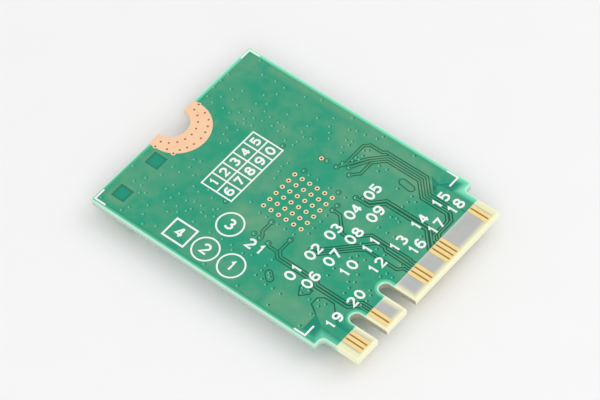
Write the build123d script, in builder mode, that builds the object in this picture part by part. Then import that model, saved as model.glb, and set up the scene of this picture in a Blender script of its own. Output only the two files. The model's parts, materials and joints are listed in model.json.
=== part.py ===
from build123d import *
import os
from math import atan2, cos, hypot, radians, sin

# An M.2 wireless card of size 2230 with the keys A and E, in millimetres.
# It lies on its shield can with the bare side up: Z = 0 is the outer face of the
# can's lid, +Z is the normal of the bare side and +Y points to the screw notch.

# Board
board_width = 22.0
board_length = 30.0
board_thickness = 0.80
component_height = 1.50
corner_cut = 0.12
tongue_width = 19.85
tongue_height = 4.00
shoulder_fillet = 0.45
bevel_length = 0.25
bevel_depth = 0.09
notch_radius = 1.75
slot_width = 1.20
slot_depth = 3.50

# Width and length of the board in whose plan the routes and fields of copper are written
plan_reference = (22.0, 30.0)

# Copper, mask and print
foil_thickness = 0.05
covered_foil = 0.04
mask_thickness = 0.06
mask_margin = 0.10
mask_stop = 2.44
relief_depth = 0.03
print_thickness = 0.02
pour_margin = 0.40
track_width = 0.14
track_gap = 0.12
bundle_pitch = 0.25
land_radius = 0.22
land_side_count = 8
hole_side_count = 6

# Edge contacts: both rows together count 75 places at half the pitch of a row
contact_pitch = 0.50
contact_place_count = 75
contact_width = 0.35
contact_cut = 0.10
bare_side_pins = (2, 4, 6, 16, 18, 38, 40, 42, 50, 52, 54, 56, 72, 74)
component_side_pins = (1, 3, 5, 7, *range(33, 58, 2), 63, 69, 75)
key_pins = ((8, 15), (24, 31))

# Plated notch, with its holes by their distance from the notch's wall and their angle
notch_land_width = 1.40
notch_land_shift = 0.85
notch_wall = 0.16
notch_hole_radius = 0.08
notch_barrel_wall = 0.03
notch_lobe_radius = 0.25
inner_ring_gap = 0.70
inner_ring_angle = 18
outer_ring_gap = 1.66
outer_ring_angles = (-36, -24, -12, 3, 16, 28, 41)
rim_holes = ((1.42, -56), (1.42, 56))
lobe_holes = ((1.36, -77), (1.36, 77), (1.92, -46))

# Thermal vias and the test point
via_count = 6
via_pitch = 0.87
via_ring_radius = 0.235
via_barrel_radius = 0.14
via_hole_radius = 0.10
thermal_land_size = 5.20
test_point_x = 5.03
test_point_y = 1.42
test_point_radius = 0.27

# Print
mark_inset = 0.28
mark_shoulder_gap = 1.30
mark_arm = 1.30
mark_line = 0.17
print_side_inset = 2.02
print_row_y = 0.17
print_pitch = 2.99
print_column_pitch = 3.39
ring_radius = 1.36
ring_line = 0.16
ring_side_count = 20
frame_width = 2.29
frame_height = 2.59
frame_line = 0.19

# Shield can
can_side_inset = 0.80
can_shoulder_inset = 1.00
can_top_inset = 4.50
can_lobe_x = 3.90
can_lobe_inset = 0.80
can_corner = 0.50
lid_sheet = 0.15
lid_height = 0.80
lid_bend = 0.15
lid_inner_bend = 0.04
lid_corner_relief = 0.55
lid_clearance = 0.05
fence_sheet = 0.20
fence_flange = 0.90
fence_bridge = 1.40
fence_foot_pitch = 6.00
fence_foot_gap = 1.00
fence_foot_rise = 0.22
lug_pitch = 7.00
lug_length = 0.90
lug_height = 0.16
lug_reach = 0.12
lug_clearance = 0.05
lug_level = 0.52

# Coaxial receptacles
receptacle_side_insets = (2.19, 6.77)
receptacle_top_inset = 1.86
receptacle_base = 1.90
receptacle_base_height = 0.22
receptacle_height = 0.62
receptacle_sheet = 0.10
receptacle_ring_radius = 0.70
receptacle_wing = 1.10
receptacle_tail = 0.20
receptacle_pin_radius = 0.16
receptacle_boss_radius = 0.34
receptacle_window = 1.50

# Parts under the can
processor_size = 8.00
processor_height = 0.85
processor_lead_count = 7
processor_lead_pitch = 0.95
processor_lead_width = 0.30
processor_lead_length = 0.50
processor_stand = 0.05
package_chamfer = 0.06
exposed_pad = 5.00
part_gap = 0.35
front_end_share = 0.41
front_end_side_insets = (3.10, 6.77)
front_end_height = 0.60
filter_length = 2.00
filter_width = 1.25
filter_height = 0.80
filter_cap = 0.30
crystal_length = 2.50
crystal_width = 2.00
crystal_base_height = 0.35
crystal_cap_height = 0.20
crystal_rim = 0.18
regulator_size = 2.50
regulator_height = 0.75
inductor_pitch = 2.90
inductor_radius = 1.10
inductor_core_radius = 0.55
inductor_height = 0.95
inductor_flange = 0.20
chip_length = 1.00
chip_width = 0.50
chip_height = 0.50
resistor_height = 0.32
chip_cap = 0.22
chip_pitch = 1.00
upper_row_count = 4
lobe_row_count = 2
lower_row_x = -3.50
lower_row_count = 5
left_column_y = -2.50
left_column_count = 4
right_column_y = -1.00
right_column_count = 3
resistor_row_x = -3.00
resistor_row_count = 3
resistor_column_y = -2.00
resistor_column_count = 3

# Levels, from the lid up to the print
lower_contact_face = component_height
laminate_bottom = component_height + foil_thickness
laminate_top = component_height + board_thickness - foil_thickness
upper_contact_face = component_height + board_thickness
seat_plane = laminate_bottom - mask_thickness
bare_face = laminate_top + mask_thickness

# Places in plan
edge_y = -board_length / 2
notch_y = board_length / 2
receptacle_x = [side_inset - board_width / 2 for side_inset in receptacle_side_insets]
receptacle_y = notch_y - receptacle_top_inset
shoulder_y = edge_y + tongue_height
mask_edge_y = edge_y + mask_stop
mark_x = board_width / 2 - mark_inset
mark_low_y = shoulder_y + mark_shoulder_gap
mark_high_y = notch_y - mark_inset
print_column_x = -board_width / 2 + print_side_inset


def contact_x(pin):
    """The place of a pin across the edge, with the middle pin at zero."""
    return (pin - (contact_place_count + 1) / 2) * contact_pitch / 2


slot_centres = [contact_x((first + last) / 2) for first, last in key_pins]


def beside(points, distance):
    """The same route moved to its left by a distance, with mitred bends."""
    headings = [atan2(y1 - y0, x1 - x0) for (x0, y0), (x1, y1) in zip(points, points[1:])]
    before = [headings[0]] + headings
    after = headings + [headings[-1]]
    moved = []
    for (x, y), a, b in zip(points, before, after):
        across = distance / cos((b - a) / 2)
        moved.append((x - across * sin((a + b) / 2), y + across * cos((a + b) / 2)))
    return moved


def stroke(points, width):
    """A route of one width with mitred bends and square ends."""
    Polygon(*beside(points, width / 2), *reversed(beside(points, -width / 2)), align=None)


def capsule(ends, width):
    """A straight field with round ends, each made of a few flats."""
    (x0, y0), (x1, y1) = ends
    heading = atan2(y1 - y0, x1 - x0)
    corners = []
    for x, y, turn in ((x0, y0, 90), (x1, y1, -90)):
        for step in range(land_side_count // 2 + 1):
            angle = heading + radians(turn + 360 / land_side_count * step)
            corners.append((x + width / 2 * cos(angle), y + width / 2 * sin(angle)))
    Polygon(*corners, align=None)


def small_hole(radius):
    """A drilled hole or its barrel, with a few flats instead of a round wall."""
    RegularPolygon(radius, hole_side_count)


def small_land(radius):
    """A round land with a few flats instead of a round edge."""
    RegularPolygon(radius, land_side_count, rotation=180 / land_side_count)


# Outline of the laminate: body, tongue, key slots and screw notch
with BuildSketch() as board_plan:
    with Locations((0, notch_y)):
        Rectangle(board_width, board_length - tongue_height, align=(Align.CENTER, Align.MAX))
    chamfer(board_plan.vertices(), corner_cut)
    with Locations((0, edge_y)):
        Rectangle(tongue_width, tongue_height + corner_cut, align=(Align.CENTER, Align.MIN))
    shoulder_corners = board_plan.vertices().filter_by_position(Axis.Y, shoulder_y, shoulder_y)
    fillet(shoulder_corners.filter_by_position(Axis.X, -tongue_width / 2, tongue_width / 2), shoulder_fillet)
    with Locations((0, notch_y)):
        Circle(notch_radius + notch_wall, mode=Mode.SUBTRACT)
    for slot_x in slot_centres:
        with Locations((slot_x, edge_y + slot_depth - slot_width / 2)):
            Circle(slot_width / 2, mode=Mode.SUBTRACT)
        with Locations((slot_x, edge_y)):
            Rectangle(
                slot_width, slot_depth - slot_width / 2, align=(Align.CENTER, Align.MIN), mode=Mode.SUBTRACT
            )


def round_notch(gap, angle):
    """A place at a distance from the notch's wall, its angle taken from -Y towards +X."""
    reach = notch_radius + gap
    return (reach * sin(radians(angle)), notch_y - reach * cos(radians(angle)))


# Plated holes round the notch, and the land that they stand in, cut flush with the board's edge
inner_ring = [round_notch(inner_ring_gap, inner_ring_angle * step) for step in range(-4, 5)]
outer_ring = [round_notch(outer_ring_gap, angle) for angle in outer_ring_angles]
lobe_places = [round_notch(gap, angle) for gap, angle in lobe_holes]
notch_holes = inner_ring + outer_ring + lobe_places + [round_notch(gap, angle) for gap, angle in rim_holes]
notch_land_radius = notch_radius + notch_land_width

with BuildSketch() as notch_land_plan:
    with Locations((0, notch_y - notch_land_shift)):
        Circle(notch_land_radius)
        Rectangle(2 * notch_land_radius, notch_land_shift, align=(Align.CENTER, Align.MIN))
    with Locations(*lobe_places):
        small_land(notch_lobe_radius)
    with Locations((0, notch_y)):
        Rectangle(
            board_width, 2 * notch_land_radius, align=(Align.CENTER, Align.MIN), mode=Mode.SUBTRACT
        )
        Circle(notch_radius, mode=Mode.SUBTRACT)

via_places = [
    ((column - (via_count - 1) / 2) * via_pitch, (row - (via_count - 1) / 2) * via_pitch)
    for row in range(via_count)
    for column in range(via_count)
]
test_place = (test_point_x, test_point_y)

# Laminate
with BuildPart() as board:
    with BuildSketch(Plane.XY.offset(laminate_bottom)):
        add(board_plan.sketch)
    extrude(amount=laminate_top - laminate_bottom)
    edge_faces = board.faces().filter_by(Axis.Y).group_by(Axis.Y)[0]
    chamfer(edge_faces.edges().filter_by(Axis.X), bevel_depth, bevel_length)
    with BuildSketch(Plane.XY.offset(laminate_bottom)):
        with Locations(*via_places, test_place):
            small_hole(via_barrel_radius)
        with Locations(*notch_holes):
            small_hole(notch_hole_radius + notch_barrel_wall)
    extrude(amount=board_thickness, mode=Mode.SUBTRACT)


def in_plan(points):
    """Places of the plan in proportion to this board."""
    return [(x * board_width / plan_reference[0], y * board_length / plan_reference[1]) for x, y in points]


def to_contact(points, pin, bend_rise):
    """A route of the plan that bends over a contact at a height over the mask's edge and runs into it."""
    x = contact_x(pin)
    return in_plan(points) + [(x, mask_edge_y + bend_rise), (x, mask_edge_y - track_width)]


# Tracks of the bare side that run from a via down to a contact
left_outer = [
    (-5.10, -0.85), (-5.35, -1.10), (-5.35, -2.00), (-5.90, -2.55), (-5.90, -6.85), (-6.20, -7.15),
    (-6.20, -10.75),
]
left_inner = [
    (-3.65, -2.20), (-5.13, -2.20), (-5.60, -2.67), (-5.60, -6.85), (-5.90, -7.15), (-5.90, -10.60),
]
middle_left = [(-3.40, -4.30), (-3.40, -5.10), (-0.85, -7.65), (-0.45, -8.20), (-0.45, -11.65)]
middle_inner = [(-2.95, -4.85), (-0.45, -7.35), (0.75, -8.55), (0.75, -9.35), (0.55, -9.55)]
middle_right = [(1.15, -3.10), (1.15, -3.90), (-0.35, -5.40), (-0.35, -6.10), (1.10, -7.55), (1.10, -11.95)]
right_pair = [(3.45, -3.85), (3.45, -5.35), (4.50, -6.40), (4.50, -11.00)]
right_pair_mate = [(3.80, -4.45), (3.80, -5.20), (4.85, -6.25), (4.85, -11.15)]
bundle = [
    (5.10, -1.80), (5.80, -2.50), (7.35, -2.50), (8.35, -3.50), (8.35, -7.15), (6.95, -8.55),
    (6.95, -11.35), (6.35, -11.95), (4.35, -11.95),
]
bundle_second = [
    (5.70, -1.25), *beside(bundle, bundle_pitch)[2:6], (7.20, -11.60), (6.60, -12.20), (4.80, -12.20),
]
contact_tracks = [
    to_contact(left_outer, 16, 1.11), to_contact(left_inner, 18, 1.06), to_contact(middle_left, 38, 0.46),
    to_contact(middle_inner, 40, 0.46), to_contact(middle_right, 42, 0.51), to_contact(right_pair, 50, 0.06),
    to_contact(right_pair_mate, 52, 0.06), to_contact(bundle, 54, 0.26), to_contact(bundle_second, 56, 0.06),
]

# Tracks that stay between vias, and vias without a track
bundle_third = in_plan([(5.10, -0.30), *beside(bundle, 2 * bundle_pitch)[2:6], (7.45, -11.00)])
bundle_end = in_plan([
    (5.75, -0.50), (5.95, -0.70), (8.40, -0.70), (8.85, -1.15), (8.85, -2.55), (9.10, -2.80),
    (9.10, -7.46), (7.70, -8.86), (7.70, -11.00),
])
upper_left = in_plan([(-5.10, 0.10), (-4.75, 0.10), (-4.45, 0.40), (-3.15, 0.40)])
tracks = contact_tracks + [bundle_third, bundle_end, upper_left]
lone_lands = in_plan([
    (-5.05, 0.85), (3.00, 1.75), (3.00, -2.25), (1.80, -3.10), (-3.85, 5.15), (-0.05, 5.35), (4.00, 5.10),
])
lands = lone_lands + [route[0] for route in tracks] + [upper_left[-1]]

# Fields of copper that stand apart from the pour
power_left = in_plan([
    (-7.80, -8.10), (-7.05, -8.10), (-6.68, -8.60), (-6.68, -9.60), (-8.25, -11.15), (-8.25, -12.56),
    (-9.20, -12.56), (-9.20, -10.30), (-8.20, -8.75),
])
power_right = in_plan([
    (8.20, -12.56), (8.20, -9.30), (8.65, -8.85), (8.95, -8.85), (9.15, -9.20), (9.15, -12.56),
])
small_field = in_plan([(-7.75, -6.60), (-7.05, -6.12), (-6.65, -6.20), (-6.75, -7.20), (-7.10, -7.20)])
slim_fields = [in_plan([(-8.00, -3.45), (-7.55, -2.95)]), in_plan([(7.36, -6.05), (7.22, -7.15)])]
slim_width = 0.56

# Laminate without copper beside the tongue, left and right
bare_left = in_plan([(-10.70, -9.10), (-8.35, -9.10), (-9.30, -10.40), (-9.30, -12.56), (-10.70, -12.56)])
bare_slit = in_plan([(-8.25, -11.15), (-7.90, -10.80), (-7.90, -12.56), (-8.25, -12.56)])
bare_right = in_plan([
    (9.40, -7.75), (9.15, -8.85), (9.85, -9.55), (10.70, -9.75), (10.70, -12.56), (8.05, -12.56),
    (8.05, -9.00),
])

with BuildSketch() as kept_copper:
    for field in (power_left, power_right, small_field):
        Polygon(*field, align=None)
    for field in slim_fields:
        capsule(field, slim_width)
    for route in tracks:
        stroke(route, track_width)
    with Locations(*lands):
        small_hole(land_radius)

with BuildSketch() as cleared_fields:
    for field in (power_left, power_right, small_field):
        Polygon(*field, align=None)
    offset(amount=track_gap, kind=Kind.INTERSECTION)

with BuildSketch() as etched_plan:
    add(board_plan.sketch)
    offset(amount=-pour_margin, kind=Kind.INTERSECTION, mode=Mode.SUBTRACT)
    with Locations(*[(x, receptacle_y) for x in receptacle_x]):
        Rectangle(receptacle_window, receptacle_window)
    for field in (bare_left, bare_slit, bare_right):
        Polygon(*field, align=None)
    add(cleared_fields.sketch)
    for field in slim_fields:
        capsule(field, slim_width + 2 * track_gap)
    for route in tracks:
        stroke(route, track_width + 2 * track_gap)
    with Locations(*lands):
        small_hole(land_radius + track_gap)
    add(kept_copper.sketch, mode=Mode.SUBTRACT)

# Mask of the bare side: it dips wherever the foil under it is etched away
with BuildPart() as mask_bare_side:
    with BuildSketch(Plane.XY.offset(laminate_top)):
        add(board_plan.sketch)
        offset(amount=-mask_margin, kind=Kind.INTERSECTION)
        with Locations((0, mask_edge_y)):
            Rectangle(board_width, mask_stop, align=(Align.CENTER, Align.MAX), mode=Mode.SUBTRACT)
        add(notch_land_plan.sketch, mode=Mode.SUBTRACT)
    extrude(amount=mask_thickness)
    with BuildSketch(Plane.XY.offset(bare_face)):
        add(etched_plan.sketch)
    extrude(amount=-relief_depth, mode=Mode.SUBTRACT)
    with BuildSketch(Plane.XY.offset(laminate_top)):
        with Locations(*via_places):
            small_land(via_ring_radius)
        with Locations(test_place):
            small_land(test_point_radius)
    extrude(amount=mask_thickness, mode=Mode.SUBTRACT)
    with BuildSketch(Plane.XY.offset(laminate_top)):
        Rectangle(thermal_land_size, thermal_land_size)
    extrude(amount=covered_foil, mode=Mode.SUBTRACT)

# Mask of the component side, open for the thermal land and the test point
with BuildPart() as mask_component_side:
    with BuildSketch(Plane.XY.offset(seat_plane)):
        add(board_plan.sketch)
        offset(amount=-mask_margin, kind=Kind.INTERSECTION)
        with Locations((0, mask_edge_y)):
            Rectangle(board_width, mask_stop, align=(Align.CENTER, Align.MAX), mode=Mode.SUBTRACT)
        add(notch_land_plan.sketch, mode=Mode.SUBTRACT)
        Rectangle(thermal_land_size, thermal_land_size, mode=Mode.SUBTRACT)
    extrude(amount=mask_thickness)
    with BuildSketch(Plane.XY.offset(seat_plane)):
        with Locations(test_place):
            small_land(test_point_radius)
    extrude(amount=mask_thickness, mode=Mode.SUBTRACT)


def contact_row(pins, level):
    """Gilded fingers from the bevel to the mask, on one face of the tongue."""
    with BuildPart() as row:
        with BuildSketch(Plane.XY.offset(level)):
            with Locations(*[(contact_x(pin), edge_y + bevel_length) for pin in pins]):
                Rectangle(contact_width, mask_stop - bevel_length, align=(Align.CENTER, Align.MIN))
            chamfer(vertices().group_by(Axis.Y)[-1], contact_cut)
        extrude(amount=foil_thickness)
    return row


contacts_bare_side = contact_row(bare_side_pins, laminate_top)
contacts_component_side = contact_row(component_side_pins, lower_contact_face)

# Plating of the notch: a land on each face, the wall between them and the small holes' barrels
with BuildPart() as notch_plating:
    for level in (lower_contact_face, laminate_top):
        with BuildSketch(Plane.XY.offset(level)):
            add(notch_land_plan.sketch)
        extrude(amount=foil_thickness)
    with BuildSketch(Plane.XY.offset(laminate_bottom)):
        with Locations((0, notch_y)):
            Circle(notch_radius + notch_wall)
            Circle(notch_radius, mode=Mode.SUBTRACT)
            Rectangle(board_width, board_width, align=(Align.CENTER, Align.MIN), mode=Mode.SUBTRACT)
        with Locations(*notch_holes):
            small_hole(notch_hole_radius + notch_barrel_wall)
    extrude(amount=laminate_top - laminate_bottom)
    with BuildSketch(Plane.XY.offset(lower_contact_face)):
        with Locations(*notch_holes):
            small_hole(notch_hole_radius)
    extrude(amount=board_thickness, mode=Mode.SUBTRACT)

# Thermal vias: a bare land under the processor, a covered land on the bare side and the barrels
# between them, each seen as a ring through its own opening in the mask
with BuildPart() as thermal_vias:
    with BuildSketch(Plane.XY.offset(seat_plane)):
        Rectangle(thermal_land_size, thermal_land_size)
    extrude(amount=mask_thickness)
    with BuildSketch(Plane.XY.offset(laminate_bottom)):
        with Locations(*via_places):
            small_hole(via_barrel_radius)
    extrude(amount=laminate_top - laminate_bottom)
    with BuildSketch(Plane.XY.offset(laminate_top)):
        Rectangle(thermal_land_size, thermal_land_size)
    extrude(amount=covered_foil)
    with BuildSketch(Plane.XY.offset(laminate_bottom)):
        with Locations(*via_places):
            small_hole(via_hole_radius)
    extrude(amount=board_thickness, mode=Mode.SUBTRACT)

# Test point: a via open on both faces
with BuildPart() as test_point:
    for level in (lower_contact_face, laminate_top):
        with BuildSketch(Plane.XY.offset(level)):
            with Locations(test_place):
                small_land(test_point_radius)
        extrude(amount=foil_thickness)
    with BuildSketch(Plane.XY.offset(laminate_bottom)):
        with Locations(test_place):
            small_hole(via_barrel_radius)
    extrude(amount=laminate_top - laminate_bottom)
    with BuildSketch(Plane.XY.offset(lower_contact_face)):
        with Locations(test_place):
            small_hole(via_hole_radius)
    extrude(amount=board_thickness, mode=Mode.SUBTRACT)

# Print: four corner marks that follow the step of the mask, a frame and three rings
with BuildPart() as corner_marks:
    with BuildSketch(Plane.XY.offset(bare_face + print_thickness)):
        for side in (-1, 1):
            for mark_y, inward in ((mark_low_y, 1), (mark_high_y, -1)):
                half = (mark_arm - mark_line) / 2
                with Locations((side * mark_x, mark_y + inward * half)):
                    Rectangle(mark_line, mark_arm)
                with Locations((side * (mark_x - half), mark_y)):
                    Rectangle(mark_arm, mark_line)
    extrude(amount=-(relief_depth + print_thickness))
    add(mask_bare_side.part, mode=Mode.SUBTRACT)

with BuildPart() as print_rings:
    with BuildSketch(Plane.XY.offset(bare_face)):
        with Locations(
            (print_column_x, print_row_y),
            (print_column_x, print_row_y + print_pitch),
            (print_column_x + print_column_pitch, print_row_y + print_pitch),
        ):
            RegularPolygon(ring_radius, ring_side_count)
            RegularPolygon(ring_radius - ring_line, ring_side_count, mode=Mode.SUBTRACT)
    extrude(amount=print_thickness)

with BuildPart() as print_frame:
    with BuildSketch(Plane.XY.offset(bare_face)):
        with Locations((print_column_x, print_row_y + 2 * print_pitch)):
            Rectangle(frame_width, frame_height)
            Rectangle(frame_width - 2 * frame_line, frame_height - 2 * frame_line, mode=Mode.SUBTRACT)
    extrude(amount=print_thickness)

# Outline of the shield can, with a lobe beside the notch on the side without receptacles
can_side = board_width / 2 - can_side_inset
can_low = shoulder_y + can_shoulder_inset
can_high = notch_y - can_top_inset
can_lobe_high = notch_y - can_lobe_inset
can_corners = [
    (-can_side, can_low), (can_side, can_low), (can_side, can_lobe_high), (can_lobe_x, can_lobe_high),
    (can_lobe_x, can_high), (-can_side, can_high),
]
with BuildSketch() as can_plan:
    Polygon(*can_corners, align=None)
    chamfer(can_plan.vertices().sort_by_distance((can_lobe_x, can_high, 0))[1:], can_corner)


def wall_planes(pitch, level, margin):
    """Planes on the can's outer walls, evenly spaced, each facing away from the can."""
    planes = []
    for (x0, y0), (x1, y1) in zip(can_corners, can_corners[1:] + can_corners[:1]):
        length = hypot(x1 - x0, y1 - y0)
        along = ((x1 - x0) / length, (y1 - y0) / length)
        count = int((length - 2 * margin) / pitch) + 1
        for index in range(count):
            place = length / 2 + (index - (count - 1) / 2) * pitch
            origin = (x0 + along[0] * place, y0 + along[1] * place, level)
            planes.append(Plane(origin=origin, x_dir=(*along, 0), z_dir=(along[1], -along[0], 0)))
    return planes


lug_planes = wall_planes(lug_pitch, lug_level, can_corner + lug_length)
foot_planes = wall_planes(fence_foot_pitch, seat_plane, fence_foot_pitch / 2)
from_outside = (Align.CENTER, Align.CENTER, Align.MAX)

# Lid: a shallow folded tray with open corners and a window for each lug of the fence
with BuildPart() as lid_hollow:
    with BuildSketch(Plane.XY.offset(lid_sheet)):
        Polygon(*can_corners, align=None)
        offset(amount=-lid_sheet, kind=Kind.INTERSECTION)
    extrude(amount=lid_height)
    chamfer(lid_hollow.faces().sort_by(Axis.Z)[0].edges(), lid_inner_bend)

with BuildPart() as shield_lid:
    with BuildSketch():
        Polygon(*can_corners, align=None)
    extrude(amount=lid_height)
    chamfer(shield_lid.faces().sort_by(Axis.Z)[0].edges(), lid_bend)
    add(lid_hollow.part, mode=Mode.SUBTRACT)
    with BuildSketch(Plane.XY.offset(lid_sheet + lid_bend)):
        with Locations(*can_corners):
            Rectangle(2 * lid_corner_relief, 2 * lid_corner_relief, rotation=45)
    extrude(amount=lid_height, mode=Mode.SUBTRACT)
    with Locations(*lug_planes):
        Box(
            lug_length + 2 * lug_clearance, lug_height + 2 * lug_clearance, lid_sheet, align=from_outside,
            mode=Mode.SUBTRACT,
        )

# Fence: a wall soldered to the board on its feet, with a flange and a bridge under the lid
fence_inset = lid_sheet + lid_clearance
fence_planes = [plane.offset(-fence_inset) for plane in lug_planes]
with BuildPart() as shield_fence:
    with BuildSketch(Plane.XY.offset(lid_sheet)):
        add(can_plan.sketch)
        offset(amount=-fence_inset, kind=Kind.INTERSECTION)
    extrude(amount=seat_plane - lid_sheet)
    with BuildSketch(Plane.XY.offset(lid_sheet + fence_sheet)):
        add(can_plan.sketch)
        offset(amount=-(fence_inset + fence_sheet), kind=Kind.INTERSECTION)
    extrude(amount=seat_plane, mode=Mode.SUBTRACT)
    with BuildSketch(Plane.XY.offset(lid_sheet)):
        add(can_plan.sketch)
        offset(amount=-(fence_inset + fence_flange), kind=Kind.INTERSECTION)
        Rectangle(fence_bridge, board_length, mode=Mode.SUBTRACT)
    extrude(amount=fence_sheet, mode=Mode.SUBTRACT)
    with Locations(*fence_planes):
        Box(lug_length, lug_height, lug_reach, align=(Align.CENTER, Align.CENTER, Align.MIN))
    with Locations(*[plane.offset(-fence_inset) for plane in foot_planes]):
        Box(fence_foot_gap, 2 * fence_foot_rise, fence_sheet, align=from_outside, mode=Mode.SUBTRACT)

# Processor: a flat package that stands on leads along its edges and a pad on the thermal land
with BuildPart() as processor_leads:
    with BuildSketch(Plane.XY.offset(seat_plane)):
        Rectangle(exposed_pad, exposed_pad)
        with PolarLocations(0, 4):
            with Locations((processor_size / 2 - processor_lead_length / 2, 0)):
                with GridLocations(0, processor_lead_pitch, 1, processor_lead_count):
                    Rectangle(processor_lead_length, processor_lead_width)
    extrude(amount=-processor_stand)

with BuildPart() as processor_package:
    with BuildSketch(Plane.XY.offset(seat_plane - processor_stand)):
        Rectangle(processor_size, processor_size)
    extrude(amount=-processor_height)
    chamfer(processor_package.faces().sort_by(Axis.Z)[0].edges(), package_chamfer)


def package(place, length, width, height, first_level=0.0):
    """A plain moulded or ceramic body on the component side, or on another body at its first level."""
    with BuildPart() as body:
        with BuildSketch(Plane.XY.offset(seat_plane - first_level)):
            with Locations(place):
                Rectangle(length, width)
        extrude(amount=-height)
    return body


# Places under the can: front ends and their filters stack from the processor up to the can, the
# power parts stand in its low right corner, and the crystal in its lobe
can_wall = fence_inset + fence_sheet
processor_reach = processor_size / 2
front_end_size = front_end_share * (can_high - can_wall - processor_reach)
front_end_y = processor_reach + part_gap + front_end_size / 2
filter_y = front_end_y + front_end_size / 2 + part_gap + filter_width / 2
front_end_x = [side_inset - board_width / 2 for side_inset in front_end_side_insets]
filter_places = [(x, filter_y, 0) for x in front_end_x]
inductor_x = can_side - can_wall - part_gap - inductor_radius
inductor_y = can_low + can_wall + part_gap + inductor_radius
inductor_places = [(inductor_x, inductor_y), (inductor_x - inductor_pitch, inductor_y)]
regulator_y = inductor_y + inductor_radius + part_gap + regulator_size / 2
regulator_place = (can_side - can_wall - part_gap - regulator_size / 2, regulator_y)
crystal_place = ((can_lobe_x + can_side) / 2, can_lobe_high - can_wall - part_gap - crystal_width / 2)

front_end_1 = package((front_end_x[0], front_end_y), front_end_size, front_end_size, front_end_height)
front_end_2 = package((front_end_x[1], front_end_y), front_end_size, front_end_size, front_end_height)
power_regulator = package(regulator_place, regulator_size, regulator_size, regulator_height)
crystal_base = package(crystal_place, crystal_length, crystal_width, crystal_base_height)
crystal_cap = package(
    crystal_place, crystal_length - 2 * crystal_rim, crystal_width - 2 * crystal_rim, crystal_cap_height,
    crystal_base_height,
)


def chip_bodies(places, length, width, height, cap):
    """Chip parts without their end caps, each place with its turn in degrees."""
    with BuildPart() as bodies:
        with BuildSketch(Plane.XY.offset(seat_plane)):
            for x, y, turn in places:
                with Locations(Location((x, y), turn)):
                    Rectangle(length - 2 * cap, width)
        extrude(amount=-height)
    return bodies


def chip_caps(places, length, width, height, cap):
    """The two end caps of each chip part."""
    with BuildPart() as caps:
        with BuildSketch(Plane.XY.offset(seat_plane)):
            for x, y, turn in places:
                with Locations(Location((x, y), turn)):
                    with GridLocations(length - cap, 0, 2, 1):
                        Rectangle(cap, width)
        extrude(amount=-height)
    return caps


def row(x, y, count):
    """Upright chip parts side by side along X."""
    return [(x + chip_pitch * step, y, 90) for step in range(count)]


def column(x, y, count):
    """Level chip parts one above the other."""
    return [(x, y + chip_pitch * step, 0) for step in range(count)]


chip_reach = processor_reach + part_gap + chip_length / 2
outer_reach = chip_reach + part_gap + chip_length
resistor_y = can_low + can_wall + part_gap + chip_length / 2
upper_row_x = front_end_x[1] + front_end_size / 2 + part_gap + chip_width / 2
lobe_row_y = crystal_place[1] - crystal_width / 2 - part_gap - chip_length / 2
capacitor_places = (
    row(upper_row_x, chip_reach, upper_row_count) + row(lower_row_x, -chip_reach, lower_row_count)
    + row(crystal_place[0], lobe_row_y, lobe_row_count)
    + column(-chip_reach, left_column_y, left_column_count)
    + column(chip_reach, right_column_y, right_column_count)
)
resistor_places = (
    row(resistor_row_x, resistor_y, resistor_row_count)
    + column(-outer_reach, resistor_column_y, resistor_column_count)
)
capacitor_size = (chip_length, chip_width, chip_height, chip_cap)
resistor_size = (chip_length, chip_width, resistor_height, chip_cap)
filter_size = (filter_length, filter_width, filter_height, filter_cap)
capacitor_bodies = chip_bodies(capacitor_places, *capacitor_size)
capacitor_caps = chip_caps(capacitor_places, *capacitor_size)
resistor_bodies = chip_bodies(resistor_places, *resistor_size)
resistor_caps = chip_caps(resistor_places, *resistor_size)
filter_bodies = chip_bodies(filter_places, *filter_size)
filter_caps = chip_caps(filter_places, *filter_size)


def drum(radius):
    """The eight-sided outline that small drum inductors are pressed to."""
    with Locations(*inductor_places):
        RegularPolygon(radius, 8, rotation=22.5)


# Inductors: a ferrite spool with its winding between two flanges
with BuildPart() as inductor_cores:
    with BuildSketch(Plane.XY.offset(seat_plane)):
        drum(inductor_radius)
    extrude(amount=-inductor_flange)
    with BuildSketch(Plane.XY.offset(seat_plane - inductor_height)):
        drum(inductor_radius)
    extrude(amount=inductor_flange)
    with BuildSketch(Plane.XY.offset(seat_plane)):
        drum(inductor_core_radius)
    extrude(amount=-inductor_height)

with BuildPart() as inductor_windings:
    with BuildSketch(Plane.XY.offset(seat_plane - inductor_flange)):
        drum(inductor_radius - inductor_flange)
    extrude(amount=-(inductor_height - 2 * inductor_flange))
    add(inductor_cores.part, mode=Mode.SUBTRACT)


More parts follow.
